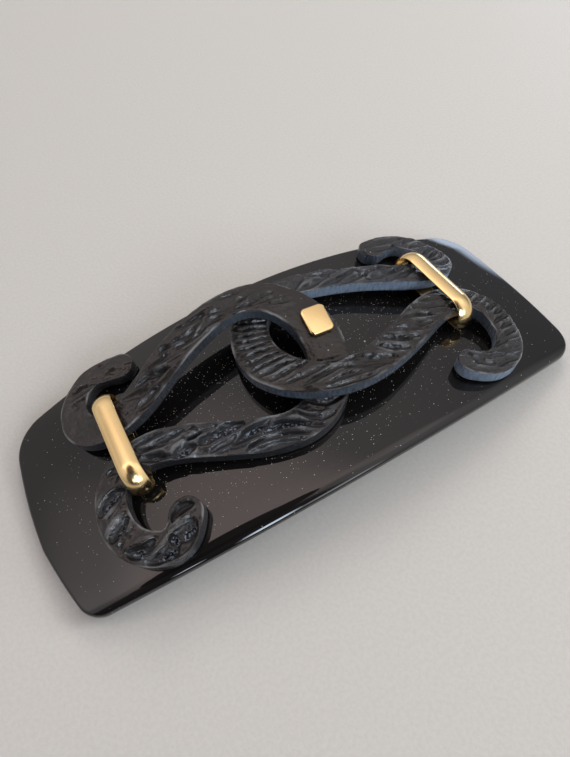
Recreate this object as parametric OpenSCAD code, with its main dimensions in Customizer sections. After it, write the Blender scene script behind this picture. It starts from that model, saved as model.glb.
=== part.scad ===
// Hair barrette: an arched black plate that carries two interlocked bands carved like rope, two gold
// keepers, a small gold plaque and a spring clip underneath.
// Millimetres. X runs along the plate and +Z points up. The origin lies on the surface that the plate's
// two ends rest on, below the middle of the plate.

/* [Plate] */
// Length of the plate, end to end
plate_length = 103.8; // [102.6:0.2:105]
// Width of the plate at its middle
plate_width = 45; // [44:1:48]
// Thickness of the sheet
plate_thick = 3; // [2.6:0.1:3.2]
// Radius of the arch, at the middle of the sheet's thickness
arch_radius = 155; // [150:1:162]
// How far each long side bows outwards
side_bow = 4; // [3:0.5:5]
// How far each end bows outwards
end_bow = 2.5; // [1.5:0.5:3.5]
// Radius of the plate's corners
corner_radius = 7; // [5:0.5:9]
// Radius of the near corner of the left end, which is tighter
near_corner_radius = 4; // [3.5:0.5:7]
// Width of the flat in the middle of each end, which the plate rests on
end_flat = 8; // [6:1:10]
// How far the near corner of the left end is sawn back, as that end is a little askew
near_cut = 2; // [0:0.2:2.2]

/* [Loops] */
// Thickness of the carved bands, under their top face
band_thick = 2.6; // [2.3:0.1:2.6]
// Depth of the carved grooves
groove_depth = 0.5; // [0.2:0.05:0.6]
// Distance from groove to groove along a band
groove_pitch = 3.6; // [3:0.2:5]
// How much the middle of the top face stands above its edges
band_crown = 0.25; // [0:0.05:0.3]

/* [Keepers] */
// Length of a keeper across the plate
keeper_length = 20; // [19.6:0.2:20.4]
// Height of a keeper, outside
keeper_height = 5.7; // [5.6:0.1:6]
// Radius of a keeper's two lower corners, outside
keeper_corner = 1.5; // [1.2:0.1:1.8]
// Width of the metal strip
keeper_width = 3.4; // [3:0.2:3.6]
// Thickness of the metal strip
keeper_thick = 0.8; // [0.7:0.1:0.8]
// How much the outer face bulges
keeper_dome = 0.35; // [0.2:0.05:0.4]

/* [Plaque] */
// Length of the plaque, along the band
plaque_length = 5.4; // [4.4:0.2:5.8]
// Width of the plaque, across the band
plaque_width = 4.6; // [4:0.2:5]
// Thickness of the plaque
plaque_thick = 0.8; // [0.6:0.1:1.2]
// Radius of the plaque's corners
plaque_corner = 1; // [0.6:0.1:1.4]

/* [Clip] */
// Length of the clip's base bar
clip_length = 72; // [66:1:76]
// Width of the base bar
clip_width = 9; // [8:0.5:10]
// Width of the clasp arm
arm_width = 6; // [5:0.5:7]
// Thickness of the clip's strips
clip_thick = 1; // [0.8:0.1:1.2]
// Height of the clasp arm's top face above the resting surface, at the middle
arm_height = 2.6; // [2.4:0.1:2.8]

/* [Hidden] */
// Gap between pieces that are glued or seated on each other
seat_gap = 0.1;
$fn = 64;

// The arch: a circle about an axis along Y. Its height puts the lowest point of the plate's rounded ends
// on the resting surface.
edge_radius = plate_thick / 2;
end_slope = asin(plate_length / 2 / arch_radius);
end_height = sqrt(arch_radius ^ 2 - (plate_length / 2) ^ 2);
EDGE_ANGLES = [-90 : 30 : 90];
end_low = min([for (a = EDGE_ANGLES)
    end_height + edge_radius * ((1 - cos(a)) * tan(end_slope) + sin(a) * cos(end_slope))]);
arch_z = -end_low;

// A point near an arch of some radius: plan position on that arch, and height over it along its normal
function near_arch(radius, x, y, height) =
    let (stretch = 1 + height / radius)
    [x * stretch, y, arch_z + sqrt(radius ^ 2 - x ^ 2) * stretch];
// A point over the plate's top face
top_radius = arch_radius + plate_thick / 2;
function over_plate(x, y, height) = near_arch(top_radius, x, y, height);

// The plate's outline is four quarters of three arcs each (long side, corner, end), mirrored, with a short
// flat in the middle of each end. They differ only in the corner's radius. Each arc keeps its centre and
// angles when the outline is drawn inwards by some inset.
side_radius = ((plate_length / 2) ^ 2 + side_bow ^ 2) / (2 * side_bow);
end_radius = ((plate_width / 2) ^ 2 + end_bow ^ 2) / (2 * end_bow);
side_centre = [0, plate_width / 2 - side_radius];
flat_angle = asin(end_flat / 2 / end_radius);
end_centre = [plate_length / 2 - end_radius * cos(flat_angle), 0];
centre_gap = norm(end_centre - side_centre);
gap_way = (end_centre - side_centre) / centre_gap;
function angle_of(v) = atan2(v[1], v[0]);
// The corner arc touches the side's and the end's arcs from inside
function corner_centre(radius) =
    let (side_reach = side_radius - radius, end_reach = end_radius - radius)
    let (along_gap = (side_reach ^ 2 - end_reach ^ 2 + centre_gap ^ 2) / (2 * centre_gap))
    let (across_gap = sqrt(side_reach ^ 2 - along_gap ^ 2))
    side_centre + along_gap * gap_way + across_gap * [gap_way[1], -gap_way[0]];
// columns: centre, radius, first angle, last angle, steps
function quarter_arcs(radius) =
    let (corner = corner_centre(radius))
    let (side_end = angle_of(corner - side_centre), end_start = angle_of(corner - end_centre))
    [
        [side_centre, side_radius, 90, side_end, 12],
        [corner, radius, side_end, end_start, 6],
        [end_centre, end_radius, end_start, flat_angle, 4]
    ];
function quarter(inset, radius) = concat(
    [for (arc = quarter_arcs(radius), i = [0 : arc[4] - 1])
        let (a = arc[2] + (arc[3] - arc[2]) * i / arc[4])
        arc[0] + (arc[1] - inset) * [cos(a), sin(a)]],
    [end_centre + (end_radius - inset) * [cos(flat_angle), sin(flat_angle)]]);
function reversed(list) = [for (i = [len(list) - 1 : -1 : 0]) list[i]];
// Share of the near cut at a place across the left end: 1 at the near side, none on the flat, and a little
// at the far side
far_share = 0.15;
function cut_share(y) =
    let (reach = max(0, abs(y) - end_flat / 2) / (plate_width / 2 - end_flat / 2))
    y < 0 ? reach : far_share * reach;
function askew(p) =
    p[0] > 0 ? p : p + [near_cut * cut_share(p[1]) * (-p[0]) / (plate_length / 2), 0];
// Far half from the right end to the left end, then the near half back
function outline(inset) =
    let (q = quarter(inset, corner_radius), near = quarter(inset, near_corner_radius), n = len(q))
    [for (p = concat(
            reversed(q),
            [for (i = [1 : n - 1]) [-q[i][0], q[i][1]]],
            [for (i = [n - 1 : -1 : 1]) [-near[i][0], -near[i][1]]],
            [for (p = q) [p[0], -p[1]]]))
        askew(p)];

// Faces of a skin over rings of equal length: a tube that is open at both ends
function tube_faces(rings, count) = [for (r = [0 : rings - 2], i = [0 : count - 1])
    let (a = r * count + i, b = r * count + (i + 1) % count)
    each [[a, b + count, b], [a, a + count, b + count]]];
// The plate's flat faces are strips across, between outline points that share one X
function strip_faces(first, count, flip) = [for (i = [0 : count / 2 - 2])
    let (a = first + i, b = a + 1, d = first + count - 1 - i, c = d - 1)
    each [for (t = [[a, b, c], [a, c, d]]) flip ? reversed(t) : t]];

module plate() {
    rings = [for (a = EDGE_ANGLES)
        [for (p = outline(edge_radius * (1 - cos(a))))
            near_arch(arch_radius, p[0], p[1], edge_radius * sin(a))]];
    count = len(rings[0]);
    last = (len(rings) - 1) * count;
    color("#15130f")
        polyhedron(
            points = [for (ring = rings) each ring],
            faces = concat(
                tube_faces(len(rings), count),
                strip_faces(0, count, false),
                strip_faces(last, count, true)));
}

// The bands. Each row is one control point of a smooth curve that starts at the scroll of the arm that
// goes over, turns round the bend and ends at the scroll of the arm that goes under.
// columns: x, y, height of the top face over the plate, width
LEFT_ROUTE = [
    [-25.5, 16, 2.9, 5.4],
    [-31.5, 18.5, 3, 4.2],
    [-35.5, 17, 3.1, 4],
    [-38, 13.5, 3.4, 4.8],
    [-38, 8.5, 3.7, 5.4],
    [-34.5, 6, 4.1, 5.8],
    [-28, 6.5, 4.7, 5.8],
    [-21.5, 9.5, 6.4, 6],
    [-14, 12, 8.2, 6],
    [-6.5, 13.5, 8.7, 5.4],
    [0, 11.5, 7.8, 6.8],
    [4, 5.5, 6, 7.2],
    [4, -2, 4, 7],
    [0, -9, 2.8, 6.6],
    [-6.5, -12, 2.7, 6],
    [-14.5, -9.5, 2.9, 6],
    [-22.5, -4.5, 3.6, 6],
    [-30, -1, 4.2, 6],
    [-36.8, -2.7, 4, 5],
    [-39, -8.5, 3.6, 5.2],
    [-38, -14, 3.1, 5],
    [-34, -17.5, 2.8, 5.4],
    [-30.5, -17, 2.8, 5.8],
    [-27.5, -12, 2.8, 5]
];
// The right band's rows are written turned by half a turn, so that they read like the left band's
RIGHT_ROUTE = [
    [-22.5, 13.5, 3.2, 5],
    [-27, 17.5, 2.8, 5.2],
    [-32.5, 16.5, 2.8, 5],
    [-36, 12.5, 3.2, 4.6],
    [-36.5, 6.5, 3.9, 4.6],
    [-33.5, 2.5, 4.4, 5.2],
    [-27, 1.5, 4.8, 6.2],
    [-19.5, 5, 5.5, 6.4],
    [-11, 8.5, 6.1, 6],
    [-3.5, 9.5, 6.3, 5.4],
    [3, 6.5, 6.2, 6],
    [7, 1, 5.4, 7.4],
    [7.5, -6, 4.5, 7],
    [3.5, -13, 4, 6],
    [-3.5, -15.5, 3.9, 5],
    [-12, -13.2, 4, 4.5],
    [-20.5, -9.8, 4.6, 4.6],
    [-28, -6, 4.7, 5.2],
    [-34, -6, 4.5, 5.2],
    [-36.5, -8.5, 4.2, 5],
    [-35.5, -13, 3.8, 4.5],
    [-33, -17, 3.4, 4],
    [-29.5, -18.5, 3, 4],
    [-24, -17, 2.8, 5.8]
];
// Slant of the grooves along a route: groove pitches from one edge to the middle, by row
SLANT = [[0, 0.5], [5, 0.6], [8, 1.5], [11, 0.5], [13, -0.5], [16, -1.5], [18, -0.6], [23, -0.5]];
// Steps on the round tip of a band, and between two rows of its table
tip_steps = 5;
row_steps = 6;
// Ring of points round a band. columns: place across, from -1 to 1; level, from 0 at the underside to 1 at
// the top; share of the carving that reaches this point
BAND_RING = [
    [-0.92, 0, 0], [0.92, 0, 0], [1, 0.1, 0], [1, 0.88, 0.5], [0.93, 1, 1], [0.6, 1, 1], [0.3, 1, 1],
    [0, 1, 1], [-0.3, 1, 1], [-0.6, 1, 1], [-0.93, 1, 1], [-1, 0.88, 0.5], [-1, 0.1, 0]
];

// Uniform cubic B-spline through the rows of a table, from its first row to its last
function row_at(rows, i) =
    i < 0 ? 2 * rows[0] - rows[1] :
    i >= len(rows) ? 2 * rows[len(rows) - 1] - rows[len(rows) - 2] : rows[i];
function spline(rows, t) =
    let (i = max(0, min(floor(t), len(rows) - 2)), f = t - i)
    ((1 - f) ^ 3 * row_at(rows, i - 1) + (3 * f ^ 3 - 6 * f ^ 2 + 4) * row_at(rows, i)
        + (-3 * f ^ 3 + 3 * f ^ 2 + 3 * f + 1) * row_at(rows, i + 1) + f ^ 3 * row_at(rows, i + 2)) / 6;
function plan(row) = [row[0], row[1]];
function heading(rows, t) =
    let (step = 0.01, d = plan(spline(rows, t + step)) - plan(spline(rows, t - step)))
    d / norm(d);
// Stations along a band: parameter of the route and share of the full width, which closes the tips in an arc
function stations(rows) =
    let (last = len(rows) - 1)
    let (first_span = row_at(rows, 0)[3] / 2 / norm(plan(rows[1] - rows[0])))
    let (last_span = row_at(rows, last)[3] / 2 / norm(plan(rows[last] - rows[last - 1])))
    let (first_step = ceil(first_span * row_steps) / row_steps)
    let (last_step = last - ceil(last_span * row_steps) / row_steps)
    concat(
        [for (i = [1 : tip_steps]) let (a = 90 * i / (tip_steps + 1)) [first_span * (1 - cos(a)), sin(a)]],
        [for (t = [first_step : 1 / row_steps : last_step + 0.01]) [t, 1]],
        [for (i = [tip_steps : -1 : 1]) let (a = 90 * i / (tip_steps + 1))
            [last - last_span * (1 - cos(a)), sin(a)]]);
// Distance along the route at each station
function travelled(rows, places) = [for (i = 0, s = 0; i < len(places);
    i = i + 1, s = s + (i < len(places) ?
        norm(plan(spline(rows, places[i][0]) - spline(rows, places[i - 1][0]))) : 0)) s];
// Crown and carving at a distance along the band and a place across it, as a height over the top edges
function carving(distance, across, slant, share) =
    band_crown * (1 - across ^ 2)
    - share * groove_depth * ((1 + cos(360 * (distance / groove_pitch + slant * across))) / 2) ^ 1.5;
// How much of the carving is left near the plaque, which sits on a smooth patch
function carved_share(t, plain_at, plain_span) =
    plain_at < 0 ? 1 : max(0, min(1, abs(t - plain_at) / plain_span - 0.8));

module band(rows, plain_at) {
    places = stations(rows);
    distances = travelled(rows, places);
    rings = [for (k = [0 : len(places) - 1])
        let (t = places[k][0], row = spline(rows, t), way = heading(rows, t))
        let (share = carved_share(t, plain_at, plaque_patch))
        let (half = row[3] / 2 * places[k][1])
        [for (p = BAND_RING)
            let (spot = plan(row) + p[0] * half * [-way[1], way[0]])
            let (cut = carving(distances[k], p[0], lookup(t, SLANT), share))
            over_plate(spot[0], spot[1], row[2] - band_thick * (1 - p[1]) + p[2] * cut)]];
    count = len(BAND_RING);
    last = (len(rings) - 1) * count;
    polyhedron(
        points = [for (ring = rings) each ring],
        faces = concat(
            tube_faces(len(rings), count),
            [[for (i = [0 : count - 1]) i]],
            [[for (i = [count - 1 : -1 : 0]) last + i]]));
}

module left_loop() {
    color("#22201f") band(LEFT_ROUTE, plaque_row);
}

module right_loop() {
    color("#22201f") rotate(180) band(RIGHT_ROUTE, -1);
}

// Place of each keeper: along X, along Y, height over the plate's top face, and its turn seen from above
left_keeper_place = [-32.7, 2.7, 0.4, -1.5];
right_keeper_place = [29.8, 2.4, 0.7, 1];

// Cross-section of a keeper's strip: flat inside, gently domed outside
module keeper_section() {
    dome_radius = ((keeper_width / 2) ^ 2 + keeper_dome ^ 2) / (2 * keeper_dome);
    intersection() {
        translate([0, -keeper_width / 2]) square([keeper_thick, keeper_width]);
        translate([keeper_thick - dome_radius, 0]) circle(r = dome_radius, $fn = 128);
    }
}

// A quarter turn of the strip, from one direction on, round a centre in the plane of the keeper's outline
module keeper_bend(centre, outer_radius, first_angle) {
    translate(centre) rotate(first_angle)
        rotate_extrude(angle = 90) translate([outer_radius - keeper_thick, 0]) keeper_section();
}

// A straight run of the strip, outer face up, with its inner face on Y = 0
module keeper_run(half_run) {
    translate([-half_run, 0]) rotate([90, 0, 90]) linear_extrude(height = 2 * half_run) keeper_section();
}

// A closed band shaped like a flat D: arched shoulders above, tight corners below. Its outline stands in the
// YZ plane with its middle on the origin and its opening along X.
module keeper() {
    half = keeper_length / 2;
    shoulder = keeper_height - keeper_corner;
    color("#d9a441")
        rotate([90, 0, 90])
            union() {
                translate([0, keeper_height - keeper_thick]) keeper_run(half - shoulder);
                keeper_bend([half - shoulder, keeper_corner], shoulder, 0);
                keeper_bend([shoulder - half, keeper_corner], shoulder, 90);
                keeper_bend([keeper_corner - half, keeper_corner], keeper_corner, 180);
                keeper_bend([half - keeper_corner, keeper_corner], keeper_corner, 270);
                rotate(180) translate([0, -keeper_thick]) keeper_run(half - keeper_corner);
            }
}

// Puts a keeper or another small piece over the arch, square to the sheet
module on_arch(place) {
    translate(over_plate(place[0], place[1], place[2]))
        rotate([0, asin(place[0] / top_radius), 0])
            children();
}

module seated_keeper(place) {
    on_arch(place) rotate(place[3]) keeper();
}

module left_keeper() {
    seated_keeper(left_keeper_place);
}

module right_keeper() {
    seated_keeper(right_keeper_place);
}

// The plaque sits on the left band's bend, at this row of the route, shifted and turned on a smooth patch
plaque_row = 11.3;
plaque_shift = 0.6;
plaque_turn = -10;
// Half the length of the smooth patch, in rows
plaque_patch = 0.55;

module plaque() {
    row = spline(LEFT_ROUTE, plaque_row);
    way = heading(LEFT_ROUTE, plaque_row);
    climb = (spline(LEFT_ROUTE, plaque_row + 0.1) - spline(LEFT_ROUTE, plaque_row - 0.1));
    slope = atan2(climb[2], norm(plan(climb)));
    spot = plan(row) + plaque_shift * [-way[1], way[0]];
    rounds = [plaque_length, plaque_width] / 2 - [1, 1] * plaque_corner;
    color("#e0b050")
        on_arch([spot[0], spot[1], row[2] + band_crown + seat_gap])
            rotate(angle_of(way)) rotate([0, -slope, 0]) rotate(plaque_turn)
                linear_extrude(height = plaque_thick) {
                    square([plaque_length, 2 * rounds[1]], center = true);
                    square([2 * rounds[0], plaque_width], center = true);
                    for (x = [-1, 1], y = [-1, 1])
                        translate([x * rounds[0], y * rounds[1]]) circle(r = plaque_corner);
                }
}

// The clip: a base bar that follows the plate's underside, a hinge barrel at the right end, a clasp arm
// under the bar and a catch at the left end, made as one plain piece
under_radius = arch_radius - plate_thick / 2 - seat_gap;
arm_radius = 700;
barrel_radius = 1.5;
catch_length = 3;

// A strip bent about an axis along Y: outer radius, height of its top, and its reach to both sides
module bent_strip(radius, top, reach_left, reach_right, width) {
    intersection() {
        translate([0, width / 2, top - radius]) rotate([90, 0, 0])
            difference() {
                cylinder(r = radius, h = width, $fn = 360);
                translate([0, 0, -1]) cylinder(r = radius - clip_thick, h = width + 2, $fn = 360);
            }
        translate([-reach_left, -width, 0]) cube([reach_left + reach_right, 2 * width, 20]);
    }
}

module clip() {
    reach = clip_length / 2;
    bar_top = arch_z + under_radius;
    bar_end = arch_z + sqrt((under_radius - clip_thick) ^ 2 - reach ^ 2);
    arm_end = arm_height - reach ^ 2 / (2 * arm_radius);
    barrel_z = (bar_end + arm_end) / 2;
    color("#9a9a98") {
        bent_strip(under_radius, bar_top, reach, reach, clip_width);
        bent_strip(arm_radius, arm_height, reach, reach, arm_width);
        translate([reach - barrel_radius, clip_width / 2, barrel_z]) rotate([90, 0, 0])
            cylinder(r = barrel_radius, h = clip_width);
        translate([-reach, -arm_width / 2, arm_end - clip_thick / 2])
            cube([catch_length, arm_width, bar_end + clip_thick / 2 - (arm_end - clip_thick / 2)]);
    }
}

plate();
left_loop();
right_loop();
left_keeper();
right_keeper();
plaque();
clip();
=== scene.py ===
# %% [markdown]
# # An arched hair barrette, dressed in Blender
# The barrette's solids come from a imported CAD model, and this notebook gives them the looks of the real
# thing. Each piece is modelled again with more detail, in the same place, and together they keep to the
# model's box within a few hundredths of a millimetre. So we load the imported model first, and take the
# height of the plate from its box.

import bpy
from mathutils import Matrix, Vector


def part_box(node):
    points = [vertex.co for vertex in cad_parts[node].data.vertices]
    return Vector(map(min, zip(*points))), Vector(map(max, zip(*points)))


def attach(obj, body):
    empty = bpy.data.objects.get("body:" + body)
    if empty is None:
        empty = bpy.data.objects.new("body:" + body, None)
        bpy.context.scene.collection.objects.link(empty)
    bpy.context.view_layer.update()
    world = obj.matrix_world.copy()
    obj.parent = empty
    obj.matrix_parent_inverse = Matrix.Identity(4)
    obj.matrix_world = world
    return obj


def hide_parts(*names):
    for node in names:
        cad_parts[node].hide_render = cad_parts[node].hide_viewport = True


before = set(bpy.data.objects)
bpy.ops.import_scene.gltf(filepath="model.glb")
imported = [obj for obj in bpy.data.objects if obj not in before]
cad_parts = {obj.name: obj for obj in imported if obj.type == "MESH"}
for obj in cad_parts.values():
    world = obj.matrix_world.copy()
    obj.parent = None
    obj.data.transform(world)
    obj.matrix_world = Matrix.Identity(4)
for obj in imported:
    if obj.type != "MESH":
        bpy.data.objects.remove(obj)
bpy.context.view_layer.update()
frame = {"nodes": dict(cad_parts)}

import math

import bmesh
import bpy
import numpy as np
from mathutils import Matrix, Vector, noise

# %% [markdown]
# ## Camera
# A camera stands on a sphere round the point it looks at: azimuth, elevation and distance place it, and
# roll tips the picture. The lens follows from the focal length in picture heights, because Blender's
# sensor width belongs to the longer side of the picture. The camera and the pieces are worked out in
# millimetres, and MM turns those into Blender's metres.

# %% Place the camera
MM = 0.001
AZIMUTH, ELEVATION, ROLL = (math.radians(angle) for angle in (-27.5, 54.9, -3.4))
DISTANCE = 105.8
LOOK_AT = Vector((-2.4, 3.0, 5.18))
FOCAL_IN_HEIGHTS = 0.7497
SENSOR = 36.0

back = Vector((math.sin(AZIMUTH) * math.cos(ELEVATION), -math.cos(AZIMUTH) * math.cos(ELEVATION),
               math.sin(ELEVATION)))
level_right = Vector((0, 0, 1)).cross(back).normalized()
level_up = back.cross(level_right)
right = math.cos(ROLL) * level_right + math.sin(ROLL) * level_up
up = math.cos(ROLL) * level_up - math.sin(ROLL) * level_right
camera_data = bpy.data.cameras.new("camera")
camera_data.sensor_width = SENSOR
camera_data.lens = FOCAL_IN_HEIGHTS * SENSOR
camera_data.clip_start, camera_data.clip_end = 0.005, 20
camera = bpy.data.objects.new("camera", camera_data)
camera.matrix_world = Matrix.Translation((LOOK_AT + DISTANCE * back) * MM) @ Matrix(
    (right, up, back)).transposed().to_4x4()
bpy.context.scene.collection.objects.link(camera)
bpy.context.scene.camera = camera
print("camera at", [round(c) for c in LOOK_AT + DISTANCE * back], "mm, lens", round(camera_data.lens, 2))

# %% [markdown]
# ## Helpers
# A bmesh is a mesh that Blender's modelling operators can work on. Every piece below is built in one, in
# millimetres, and this helper turns it into an object: it scales to metres, shades the faces smooth, gives
# the material, ties the piece to the frame and hides the CAD node it stands for. A second helper looks a
# value up in a table of two columns, where a place falls between two rows.

# %% Turn a bmesh into a piece
def finish_piece(name, bm, material, node):
    bmesh.ops.scale(bm, vec=(MM, MM, MM), verts=bm.verts[:])
    mesh = bpy.data.meshes.new(name)
    bm.to_mesh(mesh)
    bm.free()
    mesh.shade_smooth()
    mesh.materials.append(material)
    piece = bpy.data.objects.new(name, mesh)
    bpy.context.scene.collection.objects.link(piece)
    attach(piece, "root")
    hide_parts(node)
    triangles = sum(len(face.vertices) - 2 for face in mesh.polygons)
    print(name, "has", len(mesh.vertices), "vertices and", triangles, "triangles")


def looked_up(table, place):
    return np.interp(place, *np.array(table).T)


print("nodes to dress:", ", ".join(frame["nodes"]))

# %% [markdown]
# ## The arch
# The plate is bent about an axis along Y, so everything on it is laid out flat first and bent after. A
# point over an arch keeps its Y, and its X and Z stretch with its height over the arch.

# %% Bend a flat layout over the arch
ARCH_RADIUS = 155.0
PLATE_THICK = 3.0
TOP_RADIUS = ARCH_RADIUS + PLATE_THICK / 2
ARCH_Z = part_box("plate")[1].z / MM - TOP_RADIUS


def over_arch(radius, x, y, height):
    stretch = 1 + height / radius
    return np.stack([x * stretch, y + 0 * x, ARCH_Z + np.sqrt(radius ** 2 - x ** 2) * stretch], -1)


print("arch centre at", round(ARCH_Z, 2), "mm")

# %% [markdown]
# ## Wiring shader nodes
# Materials are node trees. One helper adds a node, fills its inputs and links whatever is a socket, so
# that a finish can be read from top to bottom like a recipe. The others are the steps that recipes share:
# a piece of arithmetic, a blend of two colours, a range mapped onto another one, and a fresh material.

# %% Add and link shader nodes
def add(tree, kind, inputs=None, **settings):
    made = tree.nodes.new(kind)
    for name, value in settings.items():
        setattr(made, name, value)
    for key, value in (inputs or {}).items():
        if isinstance(value, bpy.types.NodeSocket):
            tree.links.new(value, made.inputs[key])
        else:
            made.inputs[key].default_value = value
    return made


def maths(tree, operation, *values):
    return add(tree, "ShaderNodeMath", dict(enumerate(values)), operation=operation).outputs[0]


def blended(tree, share, first, second):
    """A colour between two colours."""
    mix = add(tree, "ShaderNodeMix", {"Factor": share}, data_type="RGBA")
    for socket, value in ((mix.inputs[6], first), (mix.inputs[7], second)):
        if isinstance(value, bpy.types.NodeSocket):
            tree.links.new(value, socket)
        else:
            socket.default_value = (*value, 1)
    return mix.outputs[2]


def between(tree, value, low, high, out_low, out_high):
    """Maps a range of a value onto another one, smoothly."""
    return add(tree, "ShaderNodeMapRange", {"Value": value, "From Min": low, "From Max": high,
               "To Min": out_low, "To Max": out_high}, interpolation_type="SMOOTHSTEP").outputs[0]


def new_material(name):
    material = bpy.data.materials.new(name)
    material.use_nodes = True
    return material, material.node_tree, material.node_tree.nodes["Principled BSDF"]


steps = (add, maths, blended, between, new_material)
print("steps for recipes:", ", ".join(step.__name__ for step in steps))

# %% [markdown]
# ## Shared effects
# Dust lies on every black piece, and a faint smear lies on every polished one. Each effect is a node
# group, built once, that gives a mask or a value which a material then mixes in as it likes. The dust is a
# Voronoi texture: each cell has one speck at its centre, and only a share of the cells keep theirs.

# %% Node group: specks of dust
def new_group(name, inputs, outputs):
    tree = bpy.data.node_groups.new(name, "ShaderNodeTree")
    for socket, kind, value in inputs:
        made = tree.interface.new_socket(socket, in_out="INPUT", socket_type=kind)
        if value is not None:
            made.default_value = value
    for socket in outputs:
        tree.interface.new_socket(socket, in_out="OUTPUT", socket_type="NodeSocketFloat")
    return tree, tree.nodes.new("NodeGroupInput").outputs, tree.nodes.new("NodeGroupOutput").inputs


dust_group, given, made = new_group("dust_specks", [
    ("Vector", "NodeSocketVector", None), ("Specks per m", "NodeSocketFloat", 1000.0),
    ("Share", "NodeSocketFloat", 0.2), ("Size", "NodeSocketFloat", 0.2)], ["Mask"])
cells = add(dust_group, "ShaderNodeTexVoronoi", {"Vector": given["Vector"], "Scale": given["Specks per m"]})
kind = add(dust_group, "ShaderNodeSeparateColor", {"Color": cells.outputs["Color"]})
there = maths(dust_group, "LESS_THAN", kind.outputs[0], given["Share"])
reach = maths(dust_group, "MULTIPLY", given["Size"], maths(dust_group, "ADD", 0.4, kind.outputs[1]))
far_out = maths(dust_group, "DIVIDE", cells.outputs["Distance"], reach)
inside = between(dust_group, far_out, 1.0, 0.6, 0.0, 1.0)
dust_group.links.new(maths(dust_group, "MULTIPLY", inside, there), made["Mask"])
print(dust_group.name, "has", len(dust_group.nodes), "nodes")

# %% [markdown]
# ## Smears
# Fingers leave a film that dulls a polish in clouds. A soft noise, mapped between a low and a high
# roughness, does this, and each finish sets its own scale and range.

# %% Node group: smears on a polished surface
smear_group, given, made = new_group("smears", [
    ("Vector", "NodeSocketVector", None), ("Scale", "NodeSocketFloat", 60.0),
    ("Low", "NodeSocketFloat", 0.02), ("High", "NodeSocketFloat", 0.08)], ["Roughness"])
cloud = add(smear_group, "ShaderNodeTexNoise", {"Vector": given["Vector"], "Scale": given["Scale"],
            "Detail": 4.0, "Roughness": 0.6})
smear_group.links.new(between(smear_group, cloud.outputs[0], 0.4, 0.75, given["Low"], given["High"]),
                      made["Roughness"])
print(smear_group.name, "has", len(smear_group.nodes), "nodes")

# %% [markdown]
# ## Polished acetate
# The plate is black acetate, buffed to a mirror. Its colour hardly matters: what one sees is reflection,
# so the finish is a low roughness with faint smears. Fine dust lies thickest in the middle, round the
# bands, so its share falls along an ellipse, and a few coarser specks lie all over.

# %% Finish: polished acetate
acetate, tree, shader = new_material("polished_acetate")
spot = add(tree, "ShaderNodeTexCoord").outputs["Object"]
PER_REACH = (22.0, 55.0, 0.0)
BLACK, DUST = (0.0045, 0.004, 0.0038), (0.5, 0.49, 0.46)
ellipse = add(tree, "ShaderNodeVectorMath", {0: spot, 1: PER_REACH}, operation="MULTIPLY").outputs[0]
far_out = add(tree, "ShaderNodeVectorMath", {0: ellipse}, operation="LENGTH").outputs["Value"]
share = between(tree, far_out, 0.5, 1.25, 0.9, 0.08)
fine, coarse = (add(tree, "ShaderNodeGroup", {"Vector": spot, "Specks per m": per_metre, "Share": kept,
                    "Size": size}, node_tree=dust_group).outputs[0]
                for per_metre, kept, size in ((2500.0, share, 0.15), (330.0, 0.07, 0.07)))
dust = maths(tree, "MAXIMUM", fine, coarse)
tree.links.new(blended(tree, maths(tree, "MULTIPLY", dust, 0.8), BLACK, DUST), shader.inputs["Base Color"])
smear = add(tree, "ShaderNodeGroup", {"Vector": spot, "Scale": 45.0, "Low": 0.02, "High": 0.06},
            node_tree=smear_group).outputs[0]
tree.links.new(maths(tree, "MAXIMUM", smear, maths(tree, "MULTIPLY", dust, 0.6)), shader.inputs["Roughness"])
print(acetate.name, "has", len(tree.nodes), "nodes")

# %% [markdown]
# ## Satin resin
# The bands are cut from black resin and left satin. Their tops are brown-black, with painted shade that
# darkens the grooves and painted glints in the deepest cuts. The sawn sides have a bluish haze with
# streaks, which is partly their dull finish and partly painted window light, set stronger where that light
# falls; some tops get the same colour as a painted sheen. Rims and crests are painted pale, partly as wear
# and partly as painted highlights. A painter would need a mask for each. Here the model carries them as
# attributes: deep, rim, side and wall. The colour is then a stack of blends, each laid over the one before.

# %% Finish: satin resin, colour
resin, tree, shader = new_material("satin_resin")
# the second colour is painted shade for the grooves; the third is partly haze and partly painted window
# light
TOP, GROOVE_PAINTED_SHADE, HAZE_AND_PAINTED_LIGHT = (0.012, 0.0102, 0.0092), (0.003, 0.003, 0.0035), (0.17, 0.22, 0.29)
# the first colour is painted glints for the deepest cuts; the second is pale wear with painted highlights
PAINTED_GLINT, WORN_AND_PAINTED_HIGHLIGHT, LINT = (0.16, 0.20, 0.26), (0.16, 0.165, 0.17), (0.4, 0.39, 0.37)
spot = add(tree, "ShaderNodeTexCoord").outputs["Object"]
deep, rim, side, wall = (add(tree, "ShaderNodeAttribute", attribute_name=name).outputs["Fac"]
                         for name in ("deep", "rim", "side", "wall"))
band_uv = add(tree, "ShaderNodeUVMap", uv_map="band").outputs[0]
stretched = add(tree, "ShaderNodeMapping", {"Vector": band_uv, "Scale": (420.0, 9.0, 1.0)}).outputs[0]
streaks = add(tree, "ShaderNodeTexNoise", {"Vector": stretched, "Scale": 1.0, "Detail": 3.0}).outputs[0]
# painted window light: the haze mask tints the sides bluish, and some tops get it as a painted sheen
haze_and_painted_light = maths(tree, "MULTIPLY", side, between(tree, streaks, 0.3, 0.7, 0.5, 1.1))
# painted shade darkens the grooves, and the haze with its painted window light goes over it
body = blended(tree, haze_and_painted_light, blended(tree, deep, TOP, GROOVE_PAINTED_SHADE), HAZE_AND_PAINTED_LIGHT)
crumbs = add(tree, "ShaderNodeTexNoise", {"Vector": spot, "Scale": 2600.0, "Detail": 2.0}).outputs[0]
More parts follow.
